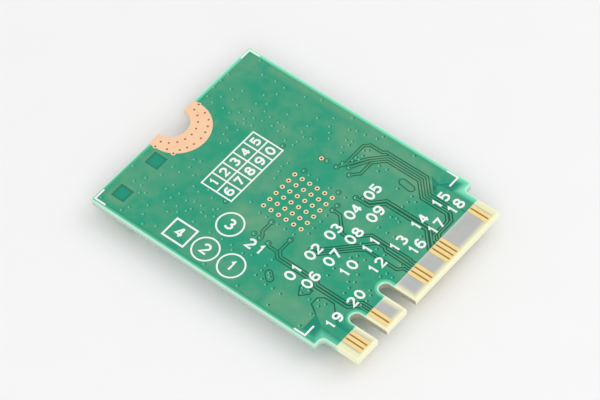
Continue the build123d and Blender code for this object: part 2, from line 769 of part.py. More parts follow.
def receptacle(x):
    """Shell, insulator and centre contact of one coaxial receptacle, upside down on the mask."""
    seat = Plane(origin=(x, receptacle_y, seat_plane), x_dir=(1, 0, 0), z_dir=(0, 0, -1))
    deck = seat.offset(receptacle_base_height)
    half = receptacle_base / 2
    with BuildPart() as contact:
        with BuildSketch(seat):
            small_land(receptacle_pin_radius)
        extrude(amount=receptacle_height - receptacle_sheet)
        with BuildSketch(seat):
            Rectangle(2 * receptacle_pin_radius, half + receptacle_tail, align=(Align.CENTER, Align.MIN))
        extrude(amount=receptacle_sheet)
    with BuildPart() as insulator:
        with BuildSketch(seat):
            Rectangle(receptacle_base, receptacle_base)
        extrude(amount=receptacle_base_height)
        with BuildSketch(deck):
            small_land(receptacle_boss_radius)
        extrude(amount=2 * receptacle_sheet)
        add(contact.part, mode=Mode.SUBTRACT)
    with BuildPart() as shell:
        with BuildSketch(deck):
            Rectangle(receptacle_base + 2 * receptacle_sheet, receptacle_base)
            RegularPolygon(receptacle_ring_radius - receptacle_sheet, 2 * land_side_count, mode=Mode.SUBTRACT)
        extrude(amount=receptacle_sheet)
        with BuildSketch(seat):
            with GridLocations(receptacle_base + receptacle_sheet, 0, 2, 1):
                Rectangle(receptacle_sheet, receptacle_wing)
        extrude(amount=receptacle_base_height)
        with BuildSketch(deck):
            Circle(receptacle_ring_radius)
            RegularPolygon(receptacle_ring_radius - receptacle_sheet, 2 * land_side_count, mode=Mode.SUBTRACT)
        extrude(amount=receptacle_height - receptacle_base_height)
    return shell, insulator, contact


antenna_1_shell, antenna_1_insulator, antenna_1_contact = receptacle(receptacle_x[0])
antenna_2_shell, antenna_2_insulator, antenna_2_contact = receptacle(receptacle_x[1])

parts = {
    "board": board,
    "mask_bare_side": mask_bare_side,
    "mask_component_side": mask_component_side,
    "contacts_bare_side": contacts_bare_side,
    "contacts_component_side": contacts_component_side,
    "notch_plating": notch_plating,
    "thermal_vias": thermal_vias,
    "test_point": test_point,
    "corner_marks": corner_marks,
    "print_rings": print_rings,
    "print_frame": print_frame,
    "shield_lid": shield_lid,
    "shield_fence": shield_fence,
    "processor_package": processor_package,
    "processor_leads": processor_leads,
    "front_end_1": front_end_1,
    "front_end_2": front_end_2,
    "power_regulator": power_regulator,
    "crystal_base": crystal_base,
    "crystal_cap": crystal_cap,
    "filter_bodies": filter_bodies,
    "filter_caps": filter_caps,
    "capacitor_bodies": capacitor_bodies,
    "capacitor_caps": capacitor_caps,
    "resistor_bodies": resistor_bodies,
    "resistor_caps": resistor_caps,
    "inductor_cores": inductor_cores,
    "inductor_windings": inductor_windings,
    "antenna_1_shell": antenna_1_shell,
    "antenna_1_insulator": antenna_1_insulator,
    "antenna_1_contact": antenna_1_contact,
    "antenna_2_shell": antenna_2_shell,
    "antenna_2_insulator": antenna_2_insulator,
    "antenna_2_contact": antenna_2_contact,
}
os.makedirs("parts", exist_ok=True)
for name, part in parts.items():
    part.part.label = name
    export_step(part.part, f"parts/{name}.step")
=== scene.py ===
import bmesh
import bpy
import json
from math import cos, pi, radians, sin
from mathutils import Matrix, Vector


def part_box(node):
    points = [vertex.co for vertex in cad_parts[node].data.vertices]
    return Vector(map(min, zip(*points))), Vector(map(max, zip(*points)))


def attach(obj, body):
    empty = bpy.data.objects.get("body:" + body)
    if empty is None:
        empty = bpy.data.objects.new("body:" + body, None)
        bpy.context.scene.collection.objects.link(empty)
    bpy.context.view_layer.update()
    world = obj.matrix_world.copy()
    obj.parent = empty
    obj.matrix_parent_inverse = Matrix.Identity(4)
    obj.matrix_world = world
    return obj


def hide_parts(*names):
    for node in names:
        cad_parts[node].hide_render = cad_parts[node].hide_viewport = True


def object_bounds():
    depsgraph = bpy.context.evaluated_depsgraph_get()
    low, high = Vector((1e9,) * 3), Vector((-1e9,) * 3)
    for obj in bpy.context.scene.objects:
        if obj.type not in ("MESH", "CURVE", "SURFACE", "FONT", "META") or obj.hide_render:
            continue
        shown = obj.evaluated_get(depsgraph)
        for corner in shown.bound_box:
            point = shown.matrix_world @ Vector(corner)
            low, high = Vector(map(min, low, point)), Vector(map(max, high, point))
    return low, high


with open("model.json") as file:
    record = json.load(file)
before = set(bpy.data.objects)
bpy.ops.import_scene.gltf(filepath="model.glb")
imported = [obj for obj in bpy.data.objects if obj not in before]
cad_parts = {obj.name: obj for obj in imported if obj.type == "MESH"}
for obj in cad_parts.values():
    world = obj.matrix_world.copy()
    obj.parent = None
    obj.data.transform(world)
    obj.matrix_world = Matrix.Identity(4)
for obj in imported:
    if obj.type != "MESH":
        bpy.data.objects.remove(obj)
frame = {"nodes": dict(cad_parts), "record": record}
cad_low, cad_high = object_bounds()

mm = 0.001

# Levels and edges, taken from the card itself
laminate_low, laminate_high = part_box("board")
finger_low, finger_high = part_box("contacts_bare_side")
thermal_low, thermal_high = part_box("thermal_vias")
test_low, test_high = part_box("test_point")
bare_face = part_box("mask_bare_side")[1].z
land_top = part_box("notch_plating")[1].z
print_top = cad_high.z
notch_y = laminate_high.y
edge_y = laminate_low.y
half_width = laminate_high.x

# Plan of the tongue, its slots and its contacts
relief_depth = 0.03 * mm
relief_floor = bare_face - relief_depth
tongue_half_width = 9.925 * mm
shoulder_y = edge_y + 4.0 * mm
mask_edge_y = edge_y + 2.4 * mm
slot_radius = 0.60 * mm
slot_end_y = edge_y + 2.9 * mm
slot_centres = (-6.625 * mm, -2.625 * mm)
slot_wall_y = (-16.0, -11.46)
contact_pitch = 0.50 * mm
contact_half_width = 0.175 * mm
contact_corner, contact_bevel = 0.12 * mm, 0.02 * mm
gap_rise, gap_inset, gap_corner, gap_bevel = 0.008 * mm, 0.12 * mm, 0.05 * mm, 0.004 * mm
contact_groups = ((-9.0, 3), (-5.5, 2), (0.0, 3), (3.0, 4), (8.5, 2))
pour_margin = 0.40 * mm
swell_rise = 0.018 * mm


def tone(red, green, blue):
    """A colour given as 0 to 255 on screen, as the linear colour that a shader takes."""
    def linear(value):
        value = value / 255
        return value / 12.92 if value <= 0.04045 else ((value + 0.055) / 1.055) ** 2.4
    return (linear(red), linear(green), linear(blue), 1.0)


class Nodes:
    """Short calls for the node tree of one new material."""

    def __init__(self, name):
        self.material = bpy.data.materials.new(name)
        self.material.use_nodes = True
        self.tree = self.material.node_tree
        self.shader = self.tree.nodes["Principled BSDF"]
        self.place = self.add("ShaderNodeNewGeometry").outputs["Position"]
        split = self.add("ShaderNodeSeparateXYZ")
        self.link(self.place, split.inputs[0])
        self.x, self.y, self.z = split.outputs

    def add(self, kind, **settings):
        node = self.tree.nodes.new(kind)
        for key, value in settings.items():
            setattr(node, key, value)
        return node

    def link(self, source, target):
        self.tree.links.new(source, target)

    def feed(self, socket, value):
        """Gives an input a constant or links it."""
        if isinstance(value, bpy.types.NodeSocket):
            self.link(value, socket)
        else:
            socket.default_value = value

    def step(self, value, low, high):
        """0 below low and 1 above high, with a soft rise between them."""
        node = self.add("ShaderNodeMapRange", interpolation_type="SMOOTHSTEP")
        self.link(value, node.inputs["Value"])
        node.inputs["From Min"].default_value = low
        node.inputs["From Max"].default_value = high
        return node.outputs["Result"]

    def calc(self, operation, a, b=0.0):
        node = self.add("ShaderNodeMath", operation=operation)
        self.feed(node.inputs[0], a)
        self.feed(node.inputs[1], b)
        return node.outputs[0]

    def inverse(self, value):
        return self.calc("SUBTRACT", 1.0, value)

    def scaled(self, factor, low, high):
        """A factor from 0 to 1 spread over another range."""
        return self.calc("ADD", self.calc("MULTIPLY", factor, high - low), low)

    def mix(self, factor, a, b):
        node = self.add("ShaderNodeMix", data_type="RGBA")
        self.feed(node.inputs["Factor"], factor)
        self.feed(node.inputs["A"], a)
        self.feed(node.inputs["B"], b)
        return node.outputs["Result"]

    def noise(self, size, detail=3.0, roughness=0.5, stretch=(1, 1, 1)):
        """Noise whose features are about size metres across."""
        scale = self.add("ShaderNodeVectorMath", operation="MULTIPLY")
        self.link(self.place, scale.inputs[0])
        scale.inputs[1].default_value = [s / size for s in stretch]
        node = self.add("ShaderNodeTexNoise")
        self.link(scale.outputs[0], node.inputs["Vector"])
        node.inputs["Scale"].default_value = 1.0
        node.inputs["Detail"].default_value = detail
        node.inputs["Roughness"].default_value = roughness
        return node.outputs["Fac"]

    def inside(self, x_range, y_range, feather):
        """1 inside a box in plan, given in millimetres."""
        result = None
        for value, (low, high) in ((self.x, x_range), (self.y, y_range)):
            above_low = self.step(value, (low - feather) * mm, (low + feather) * mm)
            below_high = self.inverse(self.step(value, (high - feather) * mm, (high + feather) * mm))
            band = self.calc("MULTIPLY", above_low, below_high)
            result = band if result is None else self.calc("MULTIPLY", result, band)
        return result

    def rim_distance(self):
        """Distance in plan to the sides, the notch edge, the shoulders and the slots."""
        across = self.calc("ABSOLUTE", self.x)
        side = self.calc("SUBTRACT", half_width, across)
        top = self.calc("SUBTRACT", notch_y, self.y)
        tongue_side = self.calc("SUBTRACT", tongue_half_width, across)
        over_shoulder = self.calc("SUBTRACT", self.y, shoulder_y)
        nearest = self.calc("MAXIMUM", tongue_side, over_shoulder)
        nearest = self.calc("MINIMUM", nearest, self.calc("MINIMUM", side, top))
        for slot_x in slot_centres:
            dx = self.calc("SUBTRACT", self.x, slot_x)
            dy = self.calc("MAXIMUM", self.calc("SUBTRACT", self.y, slot_end_y), 0.0)
            squares = self.calc("ADD", self.calc("MULTIPLY", dx, dx), self.calc("MULTIPLY", dy, dy))
            to_slot = self.calc("SUBTRACT", self.calc("SQRT", squares), slot_radius)
            nearest = self.calc("MINIMUM", nearest, to_slot)
        return nearest

    def bump(self, height, distance):
        node = self.add("ShaderNodeBump")
        self.link(height, node.inputs["Height"])
        node.inputs["Distance"].default_value = distance
        self.link(node.outputs["Normal"], self.shader.inputs["Normal"])

    def finish(self, color, roughness, metallic=0.0, specular=0.5):
        self.feed(self.shader.inputs["Base Color"], color)
        self.feed(self.shader.inputs["Roughness"], roughness)
        self.shader.inputs["Metallic"].default_value = metallic
        self.shader.inputs["Specular IOR Level"].default_value = specular
        return self.material


# In millimetres: parts of the mask that lie on bare laminate, windows in the copper, the tracks that
# look brown, and areas where the copper shows warmer, each with the softness of its edge
bare_fields = (
    ((-10.60, -8.28), (-12.60, -9.00)),
    ((-8.28, -7.88), (-12.60, -10.75)),
    ((9.15, 10.60), (-12.60, -7.60)),
    ((7.95, 9.20), (-12.60, -8.85)),
    ((8.70, 9.20), (-8.90, -7.70)),
)
windows = (((-9.60, -8.00), (12.35, 13.95)), ((-5.05, -3.40), (12.35, 13.95)))
window_margin = 0.25
field_feather = 0.03
brown_tracks = ((7.0, 9.2), (-9.5, -0.5))
warm_areas = (
    ((-10.6, -8.2), (-9.5, -4.5), 0.8),
    ((8.8, 10.4), (-8.0, 0.5), 0.9),
    ((9.8, 10.8), (-2.0, 12.0), 0.5),
    ((-5.2, -2.8), (-1.5, 4.5), 1.0),
    ((7.4, 9.2), (-8.5, -0.5), 0.4),
    ((-10.2, -7.6), (12.1, 14.3), 0.5),
    ((-5.3, -3.2), (12.1, 14.2), 0.5),
)


def solder_mask():
    """Green mask: mottled over the copper with a painted highlight on each swell, darker in its relief partly
    from bare laminate and partly from painted shade, painted shade along the windows' edges, and mint along
    the rim partly from a painted glow.
    """
    nodes = Nodes("solder_mask")
    raised = nodes.step(nodes.z, relief_floor + 0.3 * relief_depth, bare_face - 0.3 * relief_depth)
    under = nodes.inverse(nodes.step(nodes.z, laminate_low.z, laminate_high.z))
    raised = nodes.calc("MAXIMUM", raised, under)
    mottle = nodes.step(nodes.noise(1.7 * mm, 4.0, 0.6), 0.38, 0.68)
    patches = nodes.step(nodes.noise(5.0 * mm, 2.0, 0.4), 0.50, 0.62)
    warmth = nodes.calc("ADD", nodes.calc("MULTIPLY", mottle, 0.38), nodes.calc("MULTIPLY", patches, 0.28))
    strength = nodes.scaled(mottle, 0.55, 0.95)
    for x_range, y_range, feather in warm_areas:
        area = nodes.calc("MULTIPLY", nodes.inside(x_range, y_range, feather), strength)
        warmth = nodes.calc("MAXIMUM", warmth, area)
    over_copper = nodes.mix(warmth, tone(28, 156, 121), tone(106, 166, 127))
    # Painted highlight: the top of each swell is painted a lighter green.
    swell_highlight = nodes.step(nodes.z, bare_face + 0.15 * swell_rise, bare_face + 0.8 * swell_rise)
    over_copper = nodes.mix(swell_highlight, over_copper, tone(112, 200, 166))
    # The relief is darker partly from bare laminate under the mask and partly from painted shade in its
    # narrow grooves, and darker towards the tongue.
    low = nodes.mix(nodes.step(nodes.y, -10 * mm, 2 * mm), tone(14, 92, 68), tone(30, 118, 88))
    low = nodes.mix(nodes.inside(*brown_tracks, 0.5), low, tone(54, 106, 74))
    # Painted shade along the edge of each window, with the window's own teal inside.
    for (left, right), (bottom, top) in windows:
        low = nodes.mix(nodes.inside((left, right), (bottom, top), field_feather), low, tone(22, 126, 96))
        x_range = (left + window_margin, right - window_margin)
        y_range = (bottom + window_margin, top - window_margin)
        low = nodes.mix(nodes.inside(x_range, y_range, 0.20), low, tone(4, 148, 119))
    # Where the mask lies on bare laminate along the rim it is paler green of its own, and it is painted
    # brighter still as light glowing through the board's edge, most on the right; bare fields near the rim
    # take the same painted glow.
    distance = nodes.rim_distance()
    glow_to_right = nodes.step(nodes.x, -12 * mm, 9 * mm)
    outer_rim_glow = nodes.mix(glow_to_right, tone(104, 205, 168), tone(138, 242, 202))
    inner_rim_glow = nodes.mix(glow_to_right, tone(48, 168, 126), tone(106, 214, 170))
    rim = nodes.mix(nodes.step(distance, 0.10 * mm, 0.32 * mm), outer_rim_glow, inner_rim_glow)
    low = nodes.mix(nodes.step(distance, 0.92 * pour_margin, 1.12 * pour_margin), rim, low)
    lit_field = nodes.mix(nodes.step(distance, -0.10 * mm, 0.95 * mm), outer_rim_glow, tone(4, 140, 114))
    for x_range, y_range in bare_fields:
        low = nodes.mix(nodes.inside(x_range, y_range, field_feather), low, lit_field)
    nodes.bump(nodes.noise(0.5 * mm, 2.0), 0.003 * mm)
    roughness = nodes.scaled(nodes.noise(3.0 * mm), 0.24, 0.36)
    return nodes.finish(nodes.mix(raised, low, over_copper), roughness, specular=0.35)


def laminate():
    """Woven glass board: grey on the tongue with a painted cream glow along its edges, mint under the mask
    with painted shade at the foot of its walls, and painted shade inside the slots.
    """
    nodes = Nodes("laminate")
    along = nodes.noise(0.34 * mm, 2.0, 0.4, stretch=(1.0, 0.2, 1.0))
    across = nodes.noise(0.34 * mm, 2.0, 0.4, stretch=(0.2, 1.0, 1.0))
    weave = nodes.calc("MULTIPLY", nodes.calc("ADD", along, across), 0.5)
    inner = nodes.mix(weave, tone(176, 178, 178), tone(194, 195, 190))
    to_end = nodes.calc("SUBTRACT", nodes.y, edge_y)
    distance = nodes.calc("MINIMUM", nodes.rim_distance(), to_end)
    # Painted glow: near its edges and in a strip beside the tongue's sides the laminate is painted cream, as
    # light shining through it.
    glow = nodes.inverse(nodes.step(distance, 0.10 * mm, 0.75 * mm))
    beside = nodes.step(nodes.calc("ABSOLUTE", nodes.x), 9.15 * mm, 9.45 * mm)
    glow = nodes.calc("MAXIMUM", glow, beside)
    edge = nodes.mix(nodes.step(distance, 0.02 * mm, 0.30 * mm), tone(246, 246, 212), tone(240, 238, 192))
    tongue = nodes.mix(glow, inner, edge)
    # Painted shade: the mint walls darken towards their foot.
    height = nodes.step(nodes.z, laminate_low.z, laminate_high.z)
    mint = nodes.mix(weave, tone(192, 238, 214), tone(212, 248, 230))
    mint = nodes.mix(height, tone(176, 204, 186), mint)
    on_body = nodes.step(nodes.y, mask_edge_y - 0.3 * mm, mask_edge_y + 0.3 * mm)
    color = nodes.mix(on_body, tongue, mint)
    # Painted shade on the walls inside the slots, below their rim.
    near_rim = nodes.step(nodes.z, laminate_high.z - 0.22 * mm, laminate_high.z - 0.06 * mm)
    shade_below_rim = nodes.inverse(near_rim)
    for slot_x in slot_centres:
        slot_wall_x = [(slot_x + side * (slot_radius + 0.02 * mm)) / mm for side in (-1, 1)]
        in_slot = nodes.inside(slot_wall_x, slot_wall_y, 0.01)
        color = nodes.mix(nodes.calc("MULTIPLY", in_slot, shade_below_rim), color, tone(178, 170, 148))
    nodes.bump(nodes.noise(0.25 * mm, 3.0, 0.6), 0.015 * mm)
    return nodes.finish(color, 0.6)


def dimple():
    """The shaded hollow of the mask over a via, paler towards the notch."""
    nodes = Nodes("via_shade")
    grain = nodes.noise(0.10 * mm, 3.0)
    near = nodes.mix(grain, tone(6, 72, 50), tone(16, 92, 66))
    far = nodes.mix(grain, tone(24, 124, 95), tone(36, 138, 107))
    return nodes.finish(nodes.mix(nodes.step(nodes.y, -6.0 * mm, 6.0 * mm), near, far), 0.5)


def gilding():
    """Gold plating: golden on the contacts, yellower round the vias and peach on the notch, with painted
    light on the walls of the notch's land.
    """
    nodes = Nodes("gilding")
    wear = nodes.noise(0.9 * mm, 4.0, 0.6)
    golden = nodes.mix(wear, tone(246, 212, 136), tone(254, 230, 158))
    pale = nodes.mix(wear, tone(232, 202, 112), tone(246, 218, 134))
    peach = nodes.mix(wear, tone(255, 202, 156), tone(255, 218, 182))
    color = nodes.mix(nodes.step(nodes.y, shoulder_y - mm, shoulder_y + mm), golden, pale)
    # Painted light: the walls of the notch's land are painted paler, as light reflected from them.
    on_land = nodes.step(nodes.z, land_top - 0.20 * mm, land_top - 0.05 * mm)
    peach = nodes.mix(on_land, tone(255, 226, 194), peach)
    color = nodes.mix(nodes.step(nodes.y, 4.0 * mm, 9.0 * mm), color, peach)
    nodes.bump(nodes.noise(0.18 * mm, 2.0), 0.003 * mm)
    return nodes.finish(color, nodes.scaled(wear, 0.40, 0.52), metallic=0.15)


def print_ink():
    nodes = Nodes("print_ink")
    color = nodes.mix(nodes.noise(0.3 * mm, 3.0), tone(238, 247, 242), tone(252, 254, 252))
    nodes.bump(nodes.noise(0.12 * mm, 2.0), 0.005 * mm)
    return nodes.finish(color, 0.55, specular=0.3)


def metal(name, dark, light, grain_size, stretch, roughness, metallic):
    """Sheet or tin with a fine drawn grain."""
    nodes = Nodes(name)
    grain = nodes.noise(grain_size, 3.0, 0.6, stretch=stretch)
    nodes.bump(grain, 0.003 * mm)
    return nodes.finish(nodes.mix(grain, dark, light), nodes.scaled(grain, *roughness), metallic=metallic)


def matt(name, dark, light, grain_size, roughness):
    """Moulded, pressed or fired stuff with a faint speckle."""
    nodes = Nodes(name)
    grain = nodes.noise(grain_size, 3.0)
    nodes.bump(grain, 0.003 * mm)
    return nodes.finish(nodes.mix(grain, dark, light), roughness)


materials = {
    "laminate": laminate(),
    "solder_mask": solder_mask(),
    "gilding": gilding(),
    "print": print_ink(),
    "tinned_sheet": metal(
        "tinned_sheet", tone(200, 201, 200), tone(212, 213, 211), 0.30 * mm, (0.3, 2.0, 1.0),
        (0.30, 0.40), 0.9,
    ),
    "tin": metal("tin", tone(205, 206, 205), tone(222, 222, 220), 0.20 * mm, (1, 1, 1), (0.30, 0.42), 0.85),
    "copper_wire": metal(
        "copper_wire", tone(168, 92, 52), tone(214, 132, 84), 0.12 * mm, (0.1, 0.1, 3.0), (0.28, 0.38), 0.8
    ),
    "package": matt("package", tone(40, 40, 42), tone(54, 54, 55), 0.08 * mm, 0.6),
    "pale_ceramic": matt("pale_ceramic", tone(206, 200, 186), tone(220, 214, 202), 0.12 * mm, 0.45),
    "brown_ceramic": matt("brown_ceramic", tone(164, 132, 98), tone(184, 150, 114), 0.12 * mm, 0.45),
    "ferrite": matt("ferrite", tone(58, 58, 60), tone(74, 74, 76), 0.12 * mm, 0.5),
    "insulator": matt("insulator", tone(232, 229, 216), tone(242, 240, 230), 0.10 * mm, 0.5),
}
# Dark red for the discs in the via holes, brown for the discs in the notch's holes.
dark_red_in_holes = matt("dark_red_in_holes", tone(104, 20, 16), tone(132, 34, 26), 0.10 * mm, 0.6)
# The via lips' pale tone: partly the plating's own colour and partly a painted highlight.
pale_gilding_and_highlight = matt("pale_gilding_and_highlight", tone(252, 228, 204), tone(255, 242, 226), 0.10 * mm, 0.5)
brown_in_notch_holes = matt("brown_in_notch_holes", tone(148, 88, 56), tone(176, 112, 76), 0.10 * mm, 0.6)
contact_shade = matt("contact_shade", tone(138, 102, 58), tone(164, 128, 80), 0.20 * mm, 0.7)
via_shade = dimple()

for subpart in frame["record"]["subparts"]:
    data = frame["nodes"][subpart["node"]].data
    data.materials.clear()
    data.materials.append(materials[subpart["material_slot"]])


def piece(name, build, slot, material=None, replaced=None):
    """Puts the mesh that build draws into the scene as one piece of the card."""
    work = bmesh.new()
    build(work)
    bmesh.ops.recalc_face_normals(work, faces=list(work.faces))
    mesh = bpy.data.meshes.new(name)
    work.to_mesh(mesh)
    work.free()
    mesh.materials.append(material or materials[slot])
    made = bpy.data.objects.new(name, mesh)
    bpy.context.scene.collection.objects.link(made)
    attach(made, "root")
    if replaced:
        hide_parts(replaced)


def circle_points(x, y, radius, count):
    angles = [2 * pi * index / count for index in range(count)]
    return [(x + radius * cos(angle), y + radius * sin(angle)) for angle in angles]


def lathe(work, x, y, profile, count=20):
    """Turns a profile of (radius, z) points round an upright axis; radius 0 closes it."""
    rings = []
    for radius, z in profile:
        places = [(x, y)] if radius == 0 else circle_points(x, y, radius, count)
        rings.append([work.verts.new((px, py, z)) for px, py in places])
    for lower, upper in zip(rings, rings[1:]):
        for index in range(count):
            after = (index + 1) % count
            start = [lower[0]] if len(lower) == 1 else [lower[index], lower[after]]
            end = [upper[0]] if len(upper) == 1 else [upper[after], upper[index]]
            work.faces.new(start + end).smooth = True


def rounded_box(half_x, half_y, corner, steps=5):
    """Outline of a box with round corners, about the origin."""
    points = []
    for centre_x, centre_y, start in ((1, 1, 0), (-1, 1, 90), (-1, -1, 180), (1, -1, 270)):
        for step in range(steps + 1):
            angle = radians(start + 90 * step / steps)
            x = centre_x * (half_x - corner) + corner * cos(angle)
            points.append((x, centre_y * (half_y - corner) + corner * sin(angle)))
    return points


def slab(work, x, y, half_x, half_y, low, high, corner, bevel):
    """A flat pad with round corners and a bevel round its upper face."""
    outlines = (
        (low, rounded_box(half_x, half_y, corner)),
        (high - bevel, rounded_box(half_x, half_y, corner)),
        (high, rounded_box(half_x - bevel, half_y - bevel, corner - bevel)),
    )
    rings = [[work.verts.new((x + px, y + py, z)) for px, py in outline] for z, outline in outlines]
    for lower, upper in zip(rings, rings[1:]):
        for index in range(len(lower)):
            after = (index + 1) % len(lower)
            work.faces.new((lower[index], lower[after], upper[after], upper[index]))
    work.faces.new(rings[-1])
    work.faces.new(list(reversed(rings[0])))


# Round rings in the openings of the thermal vias, above the land that they share
via_count = 6
via_pitch = 0.87 * mm
via_ring_radius = 0.240 * mm
via_hole_radius = 0.115 * mm
via_collar_radius = 0.185 * mm
ring_lift = 0.004 * mm
ring_edge = 0.010 * mm
collar_lift = 0.003 * mm
thermal_corner = 0.10 * mm
hole_disc_depth = 0.03 * mm
thermal_places = [
    ((column - (via_count - 1) / 2) * via_pitch, (row - (via_count - 1) / 2) * via_pitch)
    for row in range(via_count)
    for column in range(via_count)
]
test_place = ((test_low.x + test_high.x) / 2, (test_low.y + test_high.y) / 2)
test_radius = (test_high.x - test_low.x) / 2
# A dark ring of painted shade round the test point and the via beside it.
gap_shade_inner, gap_shade_outer = 0.27 * mm, 0.33 * mm
gap_shade_via_place = (5.12 * mm, 0.77 * mm)


def thermal_rings(work):
    top = bare_face + ring_lift
    for x, y in thermal_places:
        profile = [
            (via_ring_radius, laminate_high.z), (via_ring_radius, top - ring_edge),
            (via_ring_radius - ring_edge, top), (via_hole_radius + ring_edge, top),
            (via_hole_radius, top - ring_edge), (via_hole_radius, laminate_low.z),
        ]
        lathe(work, x, y, profile)
    half = (thermal_high.x - thermal_low.x) / 2
    slab(work, 0, 0, half, half, thermal_low.z, laminate_low.z, thermal_corner, ring_edge)


def test_ring(work):
    low, high = test_low.z, test_high.z
    profile = [
        (via_hole_radius, high - ring_edge), (via_hole_radius, low + ring_edge),
        (via_hole_radius + ring_edge, low), (test_radius - ring_edge, low),
        (test_radius, low + ring_edge), (test_radius, high - ring_edge),
        (test_radius - ring_edge, high), (via_hole_radius + ring_edge, high),
        (via_hole_radius, high - ring_edge),
    ]
    lathe(work, *test_place, profile)


def via_collars(work):
    """A pale lip round each hole, inside its ring, paler partly from the plating's own tone and partly from a
    painted highlight.
    """
    tops = [(place, bare_face + ring_lift) for place in thermal_places] + [(test_place, test_high.z)]
    for (x, y), top in tops:
        lathe(work, x, y, [
            (via_collar_radius, top - collar_lift), (via_collar_radius - collar_lift, top + collar_lift),
            (via_hole_radius, top + collar_lift), (via_hole_radius, top - collar_lift),
        ])


def shaded_test_gaps(work):
    """A dark ring round the test point and round the via beside it: the mask over the copper gap there,
    darkened with painted shade.
    """
    foot, top = bare_face - ring_lift, bare_face + 0.5 * ring_lift
    for x, y in (test_place, gap_shade_via_place):
        lathe(work, x, y, [(gap_shade_inner, foot), (gap_shade_inner, top), (gap_shade_outer, top), (gap_shade_outer, foot)])


piece("thermal_rings", thermal_rings, "gilding", replaced="thermal_vias")
piece("via_collars", via_collars, "gilding", pale_gilding_and_highlight)
piece("shaded_test_gaps", shaded_test_gaps, "solder_mask", via_shade)
piece("test_ring", test_ring, "gilding", replaced="test_point")

# Holes of the notch's land, by their distance from the notch's wall and their angle from -Y to +X
notch_radius = 1.75
notch_holes = (
    [(0.70, 18 * step) for step in range(-4, 5)] + [(1.66, angle) for angle in (-36, -24, -12, 3, 16, 28, 41)]
    + [(1.42, -56), (1.42, 56), (1.36, -77), (1.36, 77), (1.92, -46)]
)
notch_hole_radius = 0.105 * mm
notch_rim_width = 0.05 * mm


def notch_places():
    for gap, angle in notch_holes:
        reach = (notch_radius + gap) * mm
        yield reach * sin(radians(angle)), notch_y - reach * cos(radians(angle))


def via_hole_discs(work):
    """Dark red discs a little down in the thermal vias and the test point's hole."""
    foot = laminate_high.z - hole_disc_depth
    for x, y in thermal_places + [test_place]:
        lathe(work, x, y, [(via_hole_radius, laminate_high.z), (0.5 * via_hole_radius, foot), (0, foot)])


def notch_hole_discs(work):
    """Brown discs in the holes of the notch's land."""
    high = land_top + ring_lift
    for x, y in notch_places():
        lathe(work, x, y, [(notch_hole_radius, high), (0.6 * notch_hole_radius, land_top), (0, land_top)])


def notch_rims(work):
    """The gilded lip round each hole of the notch's land."""
    outer, high = notch_hole_radius + notch_rim_width, land_top + 2 * ring_lift
    for x, y in notch_places():
        lathe(work, x, y, [
            (outer, land_top), (outer - ring_edge, high),
            (notch_hole_radius, high), (notch_hole_radius, land_top),
        ])


piece("via_hole_discs", via_hole_discs, "laminate", dark_red_in_holes)
piece("notch_hole_discs", notch_hole_discs, "laminate", brown_in_notch_holes)
piece("notch_rims", notch_rims, "gilding")


# Contacts with round corners, and the shaded laminate between neighbours
contact_y = (finger_low.y + finger_high.y) / 2
contact_half_length = (finger_high.y - finger_low.y) / 2


def contacts(work):
    for first_x, count in contact_groups:
        for index in range(count):
            x = first_x * mm + index * contact_pitch
            slab(
                work, x, contact_y, contact_half_width, contact_half_length,
                finger_low.z, finger_high.z, contact_corner, contact_bevel,
            )


def contact_gaps(work):
    half_width_of_gap = contact_pitch / 2 - contact_half_width
    for first_x, count in contact_groups:
        for index in range(count - 1):
            x = first_x * mm + (index + 0.5) * contact_pitch
            slab(
                work, x, contact_y, half_width_of_gap, contact_half_length - gap_inset,
                laminate_high.z, laminate_high.z + gap_rise, gap_corner, gap_bevel,
            )


piece("contacts", contacts, "gilding", replaced="contacts_bare_side")
piece("contact_gaps", contact_gaps, "laminate", contact_shade)

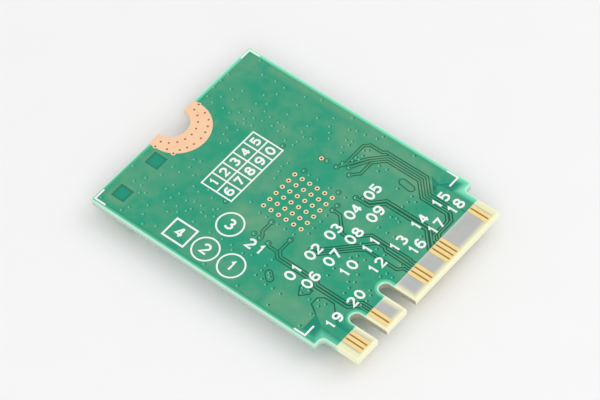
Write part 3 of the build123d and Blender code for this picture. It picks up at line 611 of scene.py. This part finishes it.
# Vias covered by the mask, in millimetres: the left side from the tongue up, then the middle and the right
covered_vias = (
    (-10.20, -8.70), (-8.65, -8.70), (-7.15, -8.30), (-7.65, -8.70), (-7.10, -9.05), (-5.20, -9.60),
    (-4.50, -9.60), (-4.05, -9.10), (-3.75, -9.60), (-5.25, -11.60), (-4.65, -11.70), (-4.00, -11.60),
    (-7.45, -6.60), (-6.95, -6.35), (-6.85, -7.00), (-7.55, -7.60), (-4.60, -7.25), (-3.70, -7.20),
    (-8.60, -4.30), (-10.20, -5.10), (-8.65, -5.20), (-7.80, -3.28), (-8.65, -3.55), (-8.40, -2.90),
    (-7.55, -3.00), (-8.40, -2.20), (-7.70, -2.30), (-7.10, -2.25), (-6.25, -2.30), (-10.25, -1.65),
    (-6.95, -0.55), (-7.30, 0.22), (-7.60, 1.20), (-7.20, 1.60), (-10.25, 2.20), (-7.20, 2.65),
    (-7.30, 4.00), (-5.75, 4.85), (-4.90, 5.10), (-6.15, 5.45), (-5.20, 5.40), (-6.10, 6.05),
    (-7.30, 5.95), (-5.55, 6.55), (-4.30, 6.35), (-6.80, 7.25), (-6.35, 7.05), (-5.55, 7.30),
    (-3.80, 7.20), (-7.35, 7.80), (-5.90, 8.00), (-4.50, 7.75), (-9.70, 8.30), (-7.85, 8.50),
    (-6.90, 8.25), (-4.30, 8.50), (-10.25, 9.40), (-7.20, 9.50), (-6.50, 9.30), (-5.70, 9.00),
    (-8.40, 10.40), (-9.40, 10.10), (-6.00, 10.30), (-5.30, 10.05), (-3.85, 10.60), (-10.25, 11.95),
    (-9.60, 11.60), (-7.10, 12.35), (-7.80, 11.95), (-7.50, 11.50), (-5.10, 11.70), (-3.80, 11.45),
    (-6.20, 12.60), (-7.10, 13.20), (-10.30, 14.35), (-5.90, 14.40),
    (-1.90, -7.65), (-1.40, -8.00), (-1.95, -8.40), (-1.35, -8.80), (-2.95, -9.30), (-0.15, -7.40),
    (0.20, -8.90), (0.10, -9.85), (0.15, -11.65), (-1.30, -11.25), (-1.90, -11.00), (-1.35, -11.90),
    (2.15, -7.55), (2.15, -8.50), (2.20, -9.25), (3.70, -7.70), (3.70, -8.60), (-3.60, -11.20),
    (3.65, -11.15), (3.60, -6.50), (-3.00, 1.90), (-3.00, 1.10), (-3.00, -0.20), (-3.00, -1.05),
    (-3.00, -2.05), (-2.10, -3.05), (-1.40, -3.00), (-0.45, -3.05), (0.35, -3.05), (2.90, 1.05),
    (3.00, 0.10), (2.90, -1.30), (2.90, -3.10), (-2.55, 3.30), (0.80, 3.30), (-2.00, 10.45),
    (-2.90, 10.20), (-3.40, 9.30), (-1.80, 9.85), (1.85, 10.20), (2.60, 10.40), (0.90, 9.75),
    (1.50, 9.40),
    (5.20, -7.80), (5.90, -7.85), (6.60, -7.75), (6.30, -8.40), (7.50, -3.30), (7.60, -4.10),
    (10.30, -5.10), (10.30, 2.05), (10.30, -1.50), (9.80, -1.20), (9.10, 1.45), (8.00, 0.90),
    (7.70, 0.35), (6.65, 0.35), (9.40, 0.80), (9.50, -0.05), (8.00, -1.10), (7.75, 2.65),
    (7.20, 2.25), (4.30, 9.85), (4.00, 13.40), (5.00, 13.20), (6.20, 13.10), (5.40, 12.10),
    (4.10, 12.20), (4.60, 10.70), (5.30, 10.00), (6.30, 10.10), (7.50, 10.20), (6.90, 9.30),
    (8.30, 9.30), (9.40, 10.40), (4.90, 9.20), (6.10, 8.90), (7.40, 14.40), (10.40, 13.10),
    (2.20, 3.65), (1.60, 3.50), (2.80, 3.45), (4.70, 4.40), (5.20, 4.35), (6.35, 4.70),
    (7.15, 4.70), (5.95, 4.20), (6.20, 3.55), (8.30, 3.10), (9.30, 3.40), (8.40, 4.60),
    (5.85, 7.10), (7.10, 7.05), (8.45, 7.00), (9.60, 7.05), (5.20, 7.30), (5.10, 6.45),
    (5.80, 6.35), (5.90, 8.10), (5.15, 8.40), (4.65, 5.30), (3.45, 10.15), (9.30, 9.25),
    (3.90, 9.50), (3.00, 9.50), (4.30, 14.25), (5.40, 14.45), (6.40, 14.45), (4.05, 11.40),
    (9.25, 11.85), (6.70, 12.10), (4.10, 8.80), (10.20, 5.60), (5.12, 0.77), (6.55, -1.00),
    (7.00, -1.05), (7.00, -1.40), (8.25, -1.45), (7.50, -1.40), (7.00, -3.55), (6.50, -6.20),
    (3.90, -8.20), (8.20, 0.40), (7.20, 0.70),
)
# Lands under the mask: alone in a ring, or at the end of a track
ringed_lands = (
    (-5.05, 0.85), (3.00, 1.75), (3.00, -2.25), (1.80, -3.10), (-3.85, 5.15), (-0.05, 5.35), (4.00, 5.10),
)
track_lands = (
    (-5.10, -0.85), (-3.65, -2.20), (-3.40, -4.30), (-2.95, -4.85), (1.15, -3.10), (3.45, -3.85),
    (3.80, -4.45), (5.10, -1.80), (5.70, -1.25), (5.10, -0.30), (5.75, -0.50), (-5.10, 0.10), (-3.15, 0.40),
)
# The swells carry a painted highlight and sit towards -X and +Y of their vias; the pits carry painted shade
# and sit towards +X and -Y.
swell_radius = 0.12 * mm
swell_shift = (-0.05 * mm, 0.05 * mm)
pit_radius = 0.095 * mm
pit_shift = (0.045 * mm, -0.05 * mm)
land_radius = 0.22 * mm
land_rise = 0.1 * swell_rise
collar_inner = 0.29 * mm
collar_outer = 0.37 * mm
swell_sides, land_sides, collar_sides = 16, 24, 28


def mask_swells(work):
    """The mask's swell beside each covered via, its top painted lighter as a highlight, round lands and a
    round collar about each lone land.
    """
    for x, y in covered_vias + ringed_lands + track_lands:
        lathe(work, x * mm + swell_shift[0], y * mm + swell_shift[1], [
            (swell_radius, relief_floor), (swell_radius, bare_face),
            (0.8 * swell_radius, bare_face + 0.6 * swell_rise),
            (0.4 * swell_radius, bare_face + 0.95 * swell_rise), (0, bare_face + swell_rise),
        ], swell_sides)
    top = bare_face + land_rise
    for x, y in ringed_lands + track_lands:
        lathe(work, x * mm, y * mm, [
            (land_radius, relief_floor), (land_radius, bare_face), (0.9 * land_radius, top), (0, top),
        ], land_sides)
    for x, y in ringed_lands:
        lathe(work, x * mm, y * mm, [
            (collar_inner, relief_floor), (collar_inner, top - 0.004 * mm),
            (collar_inner + 0.02 * mm, top), (collar_outer - 0.03 * mm, top),
            (collar_outer, bare_face - 0.002 * mm),
        ], collar_sides)


def via_pits(work):
    """A dark dish of painted shade beside each via, the shaded side of the mask's dimple over it."""
    for x, y in covered_vias + ringed_lands + track_lands:
        lathe(work, x * mm + pit_shift[0], y * mm + pit_shift[1], [
            (pit_radius, bare_face), (0.9 * pit_radius, bare_face + swell_rise),
            (0.5 * pit_radius, bare_face + 0.5 * swell_rise), (0, bare_face + 0.4 * swell_rise),
        ], swell_sides)


piece("mask_swells", mask_swells, "solder_mask")
piece("via_pits", via_pits, "solder_mask", via_shade)


# Print: counting numbers in rows, a grid with a digit in each cell, and rings round three numbers
narrowest_mitre = 0.6


def ribbon(work, points, width, closed=False, drop=0.0):
    """A printed line of even width along points in plan, with mitred corners."""
    places = [Vector(point) for point in points]
    count = len(places)
    rows = []
    for index, place in enumerate(places):
        before = places[index - 1] if closed or index > 0 else place
        after = places[(index + 1) % count] if closed or index < count - 1 else place
        into, out = (place - before).normalized(), (after - place).normalized()
        along = (into + out).normalized()
        opening = max(along.dot(out if after != place else into), narrowest_mitre)
        side = Vector((-along.y, along.x)) * (width / 2 / opening)
        corners = ((place + side, relief_floor), (place - side, relief_floor))
        corners += ((place - side, print_top - drop), (place + side, print_top - drop))
        rows.append([work.verts.new((corner.x, corner.y, z)) for corner, z in corners])
    for index in range(count if closed else count - 1):
        row, following = rows[index], rows[(index + 1) % count]
        for corner in range(4):
            turned = (corner + 1) % 4
            work.faces.new((row[corner], row[turned], following[turned], following[corner]))
    if not closed:
        work.faces.new(rows[0])
        work.faces.new(list(reversed(rows[-1])))


def arc(x, y, radius_x, radius_y, start, end, step=18):
    """Points of an arc of an upright ellipse, with its angles in degrees."""
    count = max(1, round(abs(end - start) / step))
    angles = [radians(start + (end - start) * index / count) for index in range(count + 1)]
    return [(x + radius_x * cos(angle), y + radius_y * sin(angle)) for angle in angles]


# Middle lines of the digits, 2 wide and 1 high, each with its strokes; closed strokes end where they start
six = [arc(0.15, 0.45, 1.15, 0.55, 52, 180) + [(-1, 0.29)], arc(0, 0.29, 1, 0.29, 0, 360)]
digits = {
    "0": [arc(0, 0.5, 1, 0.5, 0, 360)],
    "1": [[(-0.50, 0.76), (0.15, 1), (0.15, 0)]],
    "2": [arc(0, 0.71, 0.95, 0.29, 165, -32) + [(-1, 0), (1, 0)]],
    "3": [arc(-0.05, 0.76, 0.85, 0.24, 150, -90), arc(-0.05, 0.26, 1, 0.26, 90, -150)],
    "4": [[(0.35, 1), (-1, 0.28), (1, 0.28)], [(0.35, 0), (0.35, 1)]],
    "5": [[(0.85, 1), (-0.70, 1), (-0.80, 0.50)] + arc(-0.05, 0.31, 1, 0.31, 115, -150)],
    "6": six,
    "7": [[(-1, 1), (0.95, 1), (-0.30, 0)]],
    "8": [arc(0, 0.76, 0.80, 0.24, 0, 360), arc(0, 0.26, 1, 0.26, 0, 360)],
    "9": [[(-x, 1 - y) for x, y in stroke] for stroke in six],
}
digit_line = 0.21 * mm
digit_aspect = 0.28
stroke_drop = 0.001 * mm
closing_gap = 0.001
# Each row: text, the place of its first character's foot, its height, its pitch and its turn
number_rows = (
    ("01 02 03 04 05", -7.10, -5.20, 1.15, 0.92, 0),
    ("06 07 08 09", -6.90, -6.95, 1.15, 1.00, 0),
    ("10 11", -4.00, -8.80, 1.15, 1.05, 0),
    ("12 13 14 15", -2.20, -10.60, 1.15, 1.00, 0),
    ("16 17 18", 1.60, -12.10, 1.15, 0.92, 0),
    ("19 20", -9.00, -11.30, 1.10, 1.00, 0),
    ("21", -6.65, 0.90, 1.15, 1.10, -90),
    ("1", -9.55, 0.17, 1.20, 1.0, -90),
    ("2", -9.55, 3.16, 1.20, 1.0, -90),
    ("3", -6.16, 3.16, 1.20, 1.0, -90),
    ("4", -9.55, 6.15, 1.20, 1.0, -90),
)
grid_place = (0.0, 6.50)
grid_cell = (1.44, 1.75)
grid_columns, grid_rows = 5, 2
grid_line = 0.15
grid_digit_height = 1.05
grid_digit_foot = 0.35
ring_places = ((-8.98, 0.17), (-8.98, 3.16), (-5.59, 3.16))
ring_middle_radius = 1.27
print_ring_line = 0.16
print_ring_sides = 64


def add_digit(work, character, x, y, height, turn=0):
    """One digit with its foot at x and y in millimetres, turned about that place."""
    line = digit_line / mm
    for number, stroke in enumerate(digits[character]):
        points = []
        for u, v in stroke:
            across, up = u * digit_aspect * height, line / 2 + v * (height - line)
            place = Matrix.Rotation(radians(turn), 2) @ Vector((across, up))
            points.append(((x + place.x) * mm, (y + place.y) * mm))
        closed = (Vector(stroke[0]) - Vector(stroke[-1])).length < closing_gap
        ribbon(work, points[:-1] if closed else points, digit_line, closed, number * stroke_drop)


def add_row(work, text, x, y, height, pitch, turn):
    first = 0.5 if len(text) > 1 else 0
    along_x, along_y = cos(radians(turn)), sin(radians(turn))
    for index, character in enumerate(text):
        if character != " ":
            step = (first + index) * pitch
            add_digit(work, character, x + step * along_x, y + step * along_y, height, turn)


def add_grid(work):
    left = grid_place[0] - grid_columns * grid_cell[0] / 2
    low = grid_place[1] - grid_rows * grid_cell[1] / 2
    right, high = left + grid_columns * grid_cell[0], low + grid_rows * grid_cell[1]
    half = grid_line / 2
    for row in range(grid_rows + 1):
        y = low + row * grid_cell[1]
        ribbon(work, [((left - half) * mm, y * mm), ((right + half) * mm, y * mm)], grid_line * mm)
        if row < grid_rows:
            for column in range(grid_columns + 1):
                x = left + column * grid_cell[0]
                ends = [(x * mm, (y + half) * mm), (x * mm, (y + grid_cell[1] - half) * mm)]
                ribbon(work, ends, grid_line * mm)
    for number in range(1, grid_rows * grid_columns + 1):
        row, column = divmod(number - 1, grid_columns)
        x = left + (column + 0.5) * grid_cell[0]
        y = high - (row + 1) * grid_cell[1] + grid_digit_foot
        add_digit(work, str(number % 10), x, y, grid_digit_height)


def print_numbers(work):
    for row in number_rows:
        add_row(work, *row)
    add_grid(work)


def round_rings(work):
    for x, y in ring_places:
        points = circle_points(x * mm, y * mm, ring_middle_radius * mm, print_ring_sides)
        ribbon(work, points, print_ring_line * mm, closed=True)


piece("print_numbers", print_numbers, "print")
piece("round_rings", round_rings, "print", replaced="print_rings")

# Floor, lamps and sky
floor_mesh = bpy.data.meshes.new("floor")
floor_half = 2.0
floor_drop = 0.01 * mm
floor_corners = [
    (side_x * floor_half, side_y * floor_half, -floor_drop)
    for side_x, side_y in ((-1, -1), (1, -1), (1, 1), (-1, 1))
]
floor_mesh.from_pydata(floor_corners, [], [(0, 1, 2, 3)])
floor = bpy.data.objects.new("floor", floor_mesh)
floor_mesh.materials.append(matt("paper", tone(246, 246, 246), tone(249, 249, 249), 6.0 * mm, 0.9))
bpy.context.scene.collection.objects.link(floor)


def area_light(name, place, size, power):
    data = bpy.data.lights.new(name, "AREA")
    data.size = size
    data.energy = power
    lamp = bpy.data.objects.new(name, data)
    lamp.location = place
    lamp.rotation_mode = "QUATERNION"
    lamp.rotation_quaternion = (-Vector(place)).to_track_quat("-Z", "Y")
    bpy.context.scene.collection.objects.link(lamp)


area_light("key_light", (0.42, -0.25, 0.50), 0.50, 0.90)
area_light("fill_light", (-0.36, -0.36, 0.42), 0.50, 1.20)

world = bpy.data.worlds.new("studio")
world.use_nodes = True
background = world.node_tree.nodes["Background"]
background.inputs["Color"].default_value = (1, 1, 1, 1)
background.inputs["Strength"].default_value = 0.73
bpy.context.scene.world = world
bpy.context.scene.view_settings.view_transform = "Standard"

# Camera at the photograph's angle
azimuth, elevation, roll = radians(-45.88), radians(53.07), radians(-5.51)
distance = 288.6 * mm
target = Vector((0.25 * mm, -0.04 * mm, bare_face))
back = Vector((sin(azimuth) * cos(elevation), -cos(azimuth) * cos(elevation), sin(elevation)))
right = Vector((cos(azimuth), sin(azimuth), 0))
up = back.cross(right)
turned_right = cos(roll) * right + sin(roll) * up
turned_up = cos(roll) * up - sin(roll) * right
camera_data = bpy.data.cameras.new("camera")
camera_data.sensor_width = 36.0
camera_data.lens = 194.37
camera_data.clip_start = 0.01
camera = bpy.data.objects.new("camera", camera_data)
axes = Matrix((turned_right, turned_up, back)).transposed().to_4x4()
camera.matrix_world = Matrix.Translation(target + back * distance) @ axes
bpy.context.scene.collection.objects.link(camera)
bpy.context.scene.camera = camera
